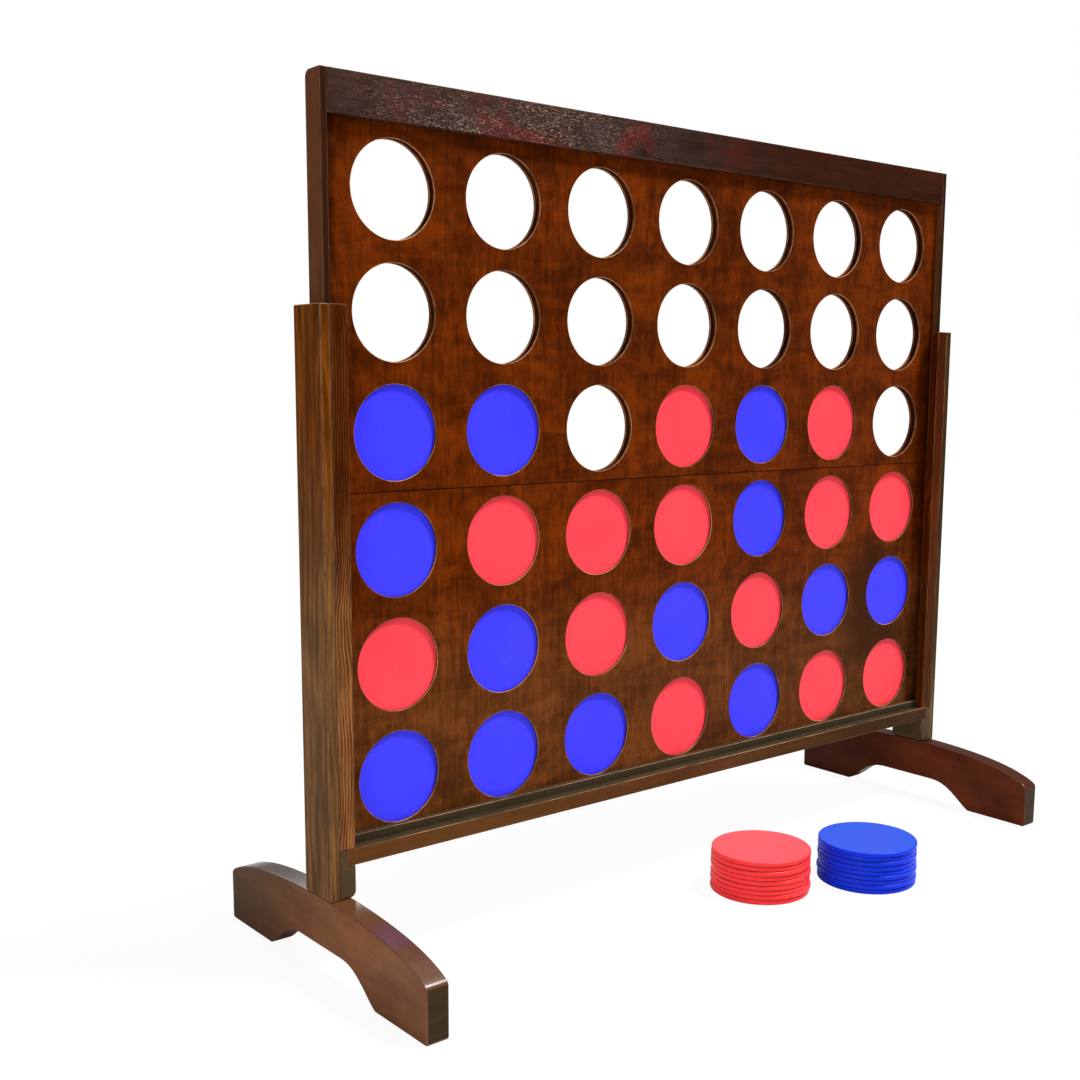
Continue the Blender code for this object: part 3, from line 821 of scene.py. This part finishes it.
# ---------------------------------------------------------------------------- feet and blocks
FOOT_HALF_LENGTH = 0.2345
FOOT_TOP = 0.1020
FOOT_DROP = 0.39               # fall of the top per square metre of distance from the middle
FOOT_END_DROP = 0.0108         # further fall, close to the end
FOOT_NOSE = 0.006              # length of the rounded upper corner
ARCH_FLAT = 0.047              # half length of the flat under the middle
ARCH_RUN = 0.080               # length of the slope from the flat to the floor
ARCH_HEIGHT = 0.039
# (distance back from the end, height) down the end of the foot
FOOT_END = (
    (0.0036, 0.0690), (0.0014, 0.0672), (0.0004, 0.0655), (0.0, 0.0635),
    (0.0, 0.0035), (0.0010, 0.0010), (0.0035, 0.0),
)


def foot_outline():
    """(y, z) points of a foot about its middle."""
    end = FOOT_HALF_LENGTH - FOOT_NOSE
    points = []
    for i in range(61):
        y = end * i / 60
        points.append((y, FOOT_TOP - FOOT_DROP * y ** 2 - FOOT_END_DROP * (i / 60) ** 6.5))
    points += [(FOOT_HALF_LENGTH - inset, z) for inset, z in FOOT_END]
    points.append((ARCH_FLAT + ARCH_RUN, 0.0))
    for i in range(29, -1, -1):
        part = i / 30
        ease = part ** 1.5
        fall = 0.5 * (part * part + ease * ease * (3 - 2 * ease))
        points.append((ARCH_FLAT + ARCH_RUN * part, ARCH_HEIGHT * (1 - fall)))
    return points + [(-y, z) for y, z in reversed(points[1:])]


def round_foot_edges(foot):
    """Round the long outer edges over, fully at the floor and half as much elsewhere."""
    weights = foot.data.attributes.new("bevel_weight_edge", "FLOAT", "EDGE")
    for edge in foot.data.edges:
        first, second = (foot.data.vertices[i].co for i in edge.vertices)
        if abs(first.x - second.x) > 1e-6:
            weight = 0.0
        elif max(first.z, second.z) < 0.0012:
            weight = 1.0
        else:
            weight = 0.5
        weights.data[edge.index].value = weight
    edges = foot.modifiers.new("edges", "BEVEL")
    edges.width = 0.0034
    edges.segments = 4
    edges.limit_method = "WEIGHT"
    edges.material = 1
    edges.harden_normals = True


def feet():
    outline = foot_outline()
    for (side, sign), kit in zip(SIDES, (FOOT_LEFT, FOOT_RIGHT)):
        node = side + "_foot"
        low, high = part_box(node)
        middle_y = (low.y + high.y) / 2
        shape = prism([(middle_y + y, z) for y, z in outline], X, low.x, high.x)
        paint(shape, 2, lambda face: abs(face.normal.y) > 0.93
              and abs(face.calc_center_median().y - middle_y) > 0.2)
        materials = [wood(node + "_wood", Y, **kit),
                     wood(node + "_edge", Y, **dict(kit, specular=0.3)),
                     wood(node + "_end_grain", X, **END_GRAIN)]
        foot = piece(node + "_arch", shape, "stand", node, materials)
        round_foot_edges(foot)
        # a wide well for the bolt's head and a narrow hole for its shank
        drill(foot, "well", side, sign, middle_y, z=0.026,
              cylinders=((48, 0.0054, 0.04, 0.0), (32, 0.0033, 0.2, 0.06)))


def blocks():
    corner = 0.008         # radius of the lower inner corner
    stop_inner, stop_outer, stop_top = 0.5858, 0.5963, 0.1635
    for side, sign in SIDES:
        node = side + "_base_block"
        low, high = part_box(node)
        high.z = BLOCK_TOP
        outer, inner = (high.x, low.x) if sign > 0 else (low.x, high.x)
        outline = [(outer, low.z), (outer, high.z), (inner, high.z)]
        outline += [(inner + sign * corner - sign * corner * cos, low.z + corner - corner * sin)
                    for cos, sin in quarter_turn(10)]
        shape = prism(outline, Y, low.y, high.y)
        materials = [wood(node + "_wood", Y, **OLIVE), worn_and_lit(node, Y, 0.25)]
        # the stop that stands beside the end of the release bar
        left, right = sorted((sign * stop_inner, sign * stop_outer))
        stop = box_mesh((left, low.y + 0.0003, BLOCK_TOP + 0.0001),
                        (right, BOARD_Y - 0.0169, stop_top))
        piece(node + "_bar_stop", stop, "stand", None, materials,
              bevel=0.0008, edge_material=1)
        block = piece(node + "_body", shape, "stand", node, materials,
                      bevel=0.0016, edge_material=1)
        drill(block, "seat", side, sign, BOARD_Y, z=0.098, cylinders=((48, 0.0046, 0.06, 0.0),))


# ---------------------------------------------------------------------------- turned pieces
def turned(name, profile, place, segments, body, node, material, axis=Z, closed=False):
    """A profile of (radius, height) swept round an axis. closed joins its last point to its
    first, for a ring."""
    shape = bmesh.new()
    turns = [2 * math.pi * i / segments for i in range(segments)]
    loops = []
    for radius, height in profile:
        if radius == 0:
            points = [(0, 0, height)]
        else:
            points = [(radius * math.cos(a), radius * math.sin(a), height) for a in turns]
        loops.append([shape.verts.new(point) for point in points])
    pairs = list(zip(loops, loops[1:]))
    if closed:
        pairs.append((loops[-1], loops[0]))
    for near, far in pairs:
        for i in range(segments):
            j = (i + 1) % segments
            if len(near) == 1:
                shape.faces.new((near[0], far[i], far[j]))
            elif len(far) == 1:
                shape.faces.new((near[i], far[0], near[j]))
            else:
                shape.faces.new((near[i], far[i], far[j], near[j]))
    bmesh.ops.recalc_face_normals(shape, faces=shape.faces)
    turn = Matrix.Rotation(math.radians(90), 4, "X") if axis == Y else Matrix.Identity(4)
    shape.transform(Matrix.Translation(place) @ turn)
    piece(name, shape, body, node, [material])


def disc_profile(thick, edge):
    """A flat disc whose rim is rounded over by edge on both sides."""
    half, radius, flat = thick / 2, DISC_RADIUS, DISC_RADIUS - 0.004
    arc = quarter_turn(6)
    return [(0.0, -half), (radius * 0.5, -half), (flat, -half),
            *((radius - edge + edge * sin, -half + edge - edge * cos) for cos, sin in arc),
            *((radius - edge + edge * cos, half - edge + edge * sin) for cos, sin in arc),
            (flat, half), (radius * 0.5, half), (0.0, half)]


def discs():
    """The discs in the board's windows."""
    finish = dict(rough=(0.38, 0.50), specular=0.18)
    materials = {
        "red": plastic("disc_red", base=srgb(254, 65, 77), deep=srgb(249, 55, 66), **finish),
        "blue": plastic("disc_blue", base=srgb(58, 55, 250), deep=srgb(49, 46, 241), **finish),
    }
    for node in sorted(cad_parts):
        if "_disc_column_" not in node:
            continue
        low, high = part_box(node)
        kind, column, row = (node.split("_")[i] for i in (0, 3, 5))
        kind = "red" if kind == "red" else kind
        turned(node + "_piece", disc_profile(high.y - low.y, edge=0.0011), (low + high) / 2, 128,
               f"disc_c{column}_r{row}", node,
               materials["red" if kind == "red" else "blue"], axis=Y)


def pile(kind, material, phase):
    """Spare discs lying on each other, each a little out of line."""
    count = 9
    slack = 0.0003         # the pile's discs are spread over this much more than its box
    node = kind + "_disc_pile"
    low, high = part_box(node)
    pitch = (high.z - low.z + slack) / count
    xs = [0.0009 * math.sin(1.9 * i + phase) for i in range(count)]
    ys = [0.0007 * math.cos(2.6 * i + phase) for i in range(count)]
    centre_x = (low.x + high.x) / 2 - (max(xs) + min(xs)) / 2
    centre_y = (low.y + high.y) / 2 - (max(ys) + min(ys)) / 2
    for i in range(count):
        place = (centre_x + xs[i], centre_y + ys[i], low.z + pitch * (i + 0.5) - slack / 2)
        turned(f"spare_{kind}_disc_{i + 1}", disc_profile(pitch - 0.0002, edge=0.0018), place,
               128, "stand", node, material)


def piles():
    finish = dict(rough=(0.34, 0.46), specular=0.14)
    # top: the paler upper faces, painted light from above
    red = plastic("spare_red", base=srgb(252, 55, 57), deep=srgb(244, 48, 50),
                  top=srgb(244, 79, 83), **finish)
    pile("red", red, phase=0.0)
    blue = plastic("spare_blue", base=srgb(5, 48, 222), deep=srgb(4, 40, 210),
                   top=srgb(40, 78, 190), **finish)
    pile("blue", blue, phase=1.0)


def bolt_profile(bottom, tip):
    """Socket, head and shoulder from below, then a threaded shank."""
    socket, shank, root, head = 0.0029, 0.0029, 0.0025, 0.0050
    socket_top, head_top = bottom + 0.0032, bottom + 0.0060
    profile = [(0.0, socket_top), (socket, socket_top), (socket, bottom), (0.0046, bottom),
               (0.0049, bottom + 0.0002), (head, bottom + 0.0006), (head, head_top),
               (0.0030, head_top), (shank, bottom + 0.0063)]
    height, pitch = bottom + 0.030, 0.0010
    profile.append((shank, height))
    while height < tip - 0.0025:
        profile += [(root, height + 0.0004), (shank, height + pitch)]
        height += pitch
    return profile + [(0.0024, tip - 0.0004), (0.0020, tip), (0.0, tip)]


def insert_profile(bottom, top):
    """A sleeve with ridges round the outside."""
    bore, ridge, root, pitch = 0.0032, 0.0043, 0.0039, 0.0016
    profile = [(bore, bottom + 0.0003), (0.0035, bottom), (0.0041, bottom)]
    height = bottom
    while height < top - 0.0025:
        profile += [(ridge, height + 0.0006), (root, height + 0.0011), (ridge, height + pitch)]
        height += pitch
    return profile + [(0.0040, top), (0.0034, top), (bore, top - 0.0003)]


def fasteners():
    steel = metal("bolt_steel", colour=(0.52, 0.52, 0.54), rough=0.28)
    brass = metal("insert_brass", colour=(0.66, 0.46, 0.18), rough=0.3)
    for side, _ in SIDES:
        for where in ("front", "back"):
            bolt = f"{side}_foot_bolt_{where}"
            low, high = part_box(bolt)
            place = ((low.x + high.x) / 2, (low.y + high.y) / 2, 0)
            turned(bolt + "_screw", bolt_profile(low.z, high.z), place, 36, "stand", bolt,
                   steel)
            insert = f"{side}_threaded_insert_{where}"
            low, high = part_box(insert)
            turned(insert + "_sleeve", insert_profile(low.z, high.z), place, 36, "stand", insert,
                   brass, closed=True)


# ---------------------------------------------------------------------------- studio
def floor():
    shape = bmesh.new()
    bmesh.ops.create_circle(shape, cap_ends=True, radius=9.0, segments=96)
    obj = mesh_object("floor", "floor", shape)
    obj.location.z = -0.0004
    tree = Tree("floor_paint")
    tree.surface({"Base Color": (0.55, 0.55, 0.55), "Roughness": 0.75, "Specular IOR Level": 0.2})
    # to the camera the floor is evenly white, with only a trace of the shadow on it, and it
    # runs into the backdrop
    distance = tree.add("ShaderNodeVectorMath", operation="LENGTH")
    tree.links.new(tree.coord, distance.inputs[0])
    far = tree.smoothstep(distance.outputs["Value"], start=0.9, end=2.2, low=0.89, high=1.0)
    glow = tree.add("ShaderNodeEmission")
    glow.inputs["Strength"].default_value = 1.05
    path = tree.add("ShaderNodeLightPath")
    blend = tree.add("ShaderNodeMixShader")
    tree.links.new(tree.times(far, path.outputs["Is Camera Ray"]), blend.inputs[0])
    tree.links.new(tree.shader.outputs[0], blend.inputs[1])
    tree.links.new(glow.outputs[0], blend.inputs[2])
    tree.links.new(blend.outputs[0], tree.nodes["Material Output"].inputs["Surface"])
    obj.data.materials.append(tree.material)


def area_light(name, place, size, watts, target=(0, 0, 0.5)):
    light = bpy.data.lights.new(name, "AREA")
    light.shape = "RECTANGLE"
    light.size, light.size_y = size
    light.energy = watts
    obj = bpy.data.objects.new(name, light)
    bpy.context.scene.collection.objects.link(obj)
    obj.location = place
    aim = Vector(target) - Vector(place)
    obj.rotation_euler = aim.to_track_quat("-Z", "Y").to_euler()


def lights():
    area_light("key", place=(2.84, -2.63, 7.5), size=(1.45, 1.45), watts=1120)
    area_light("top", place=(1.05, 0.55, 2.9), size=(1.4, 1.4), watts=14, target=(-0.2, 0, 0.3))
    area_light("fill", place=(-3.6, -1.4, 1.7), size=(2.0, 2.0), watts=72)
    area_light("back", place=(0.6, 3.6, 2.4), size=(2.6, 2.0), watts=60)


def backdrop():
    """White to the camera, a faint cool light to everything else."""
    world = bpy.data.worlds.new("studio")
    bpy.context.scene.world = world
    world.use_nodes = True
    nodes, links = world.node_tree.nodes, world.node_tree.links
    nodes.clear()
    output = nodes.new("ShaderNodeOutputWorld")
    seen = nodes.new("ShaderNodeBackground")
    seen.inputs["Color"].default_value = (1, 1, 1, 1)
    seen.inputs["Strength"].default_value = 1.0
    lit = nodes.new("ShaderNodeBackground")
    lit.inputs["Color"].default_value = (0.97, 0.98, 1.0, 1)
    lit.inputs["Strength"].default_value = 0.17
    path = nodes.new("ShaderNodeLightPath")
    mix = nodes.new("ShaderNodeMixShader")
    links.new(path.outputs["Is Camera Ray"], mix.inputs[0])
    links.new(lit.outputs[0], mix.inputs[1])
    links.new(seen.outputs[0], mix.inputs[2])
    links.new(mix.outputs[0], output.inputs[0])


def camera():
    lens = bpy.data.cameras.new("camera")
    obj = bpy.data.objects.new("camera", lens)
    bpy.context.scene.collection.objects.link(obj)
    right = (0.7719453594976399, -0.6356670380094642, 0.005270553892472357)
    up = (0.08611995016484987, 0.11279035338057723, 0.9898796342828192)
    back = (-0.6298283227464949, -0.7636790903072824, 0.14181160352304836)
    turn = Matrix((right, up, back)).transposed().to_4x4()
    obj.matrix_world = Matrix.Translation((-1.386285, -1.366394, 0.724663)) @ turn
    lens.sensor_fit = "HORIZONTAL"
    lens.sensor_width = 36.0
    lens.lens = 44.736
    lens.shift_x, lens.shift_y = -0.013335, 0.032538
    lens.clip_start, lens.clip_end = 0.05, 60
    bpy.context.scene.camera = obj
    view = bpy.context.scene.view_settings
    view.view_transform = "Standard"
    view.look = "None"
    view.exposure = 0.0
    view.gamma = 1.0


# the order sets the seeds of the materials
panels()
stiles()
back_top_rail()
rails_and_bar()
posts()
blocks()
feet()
discs()
piles()
fasteners()
floor()
lights()
backdrop()
camera()
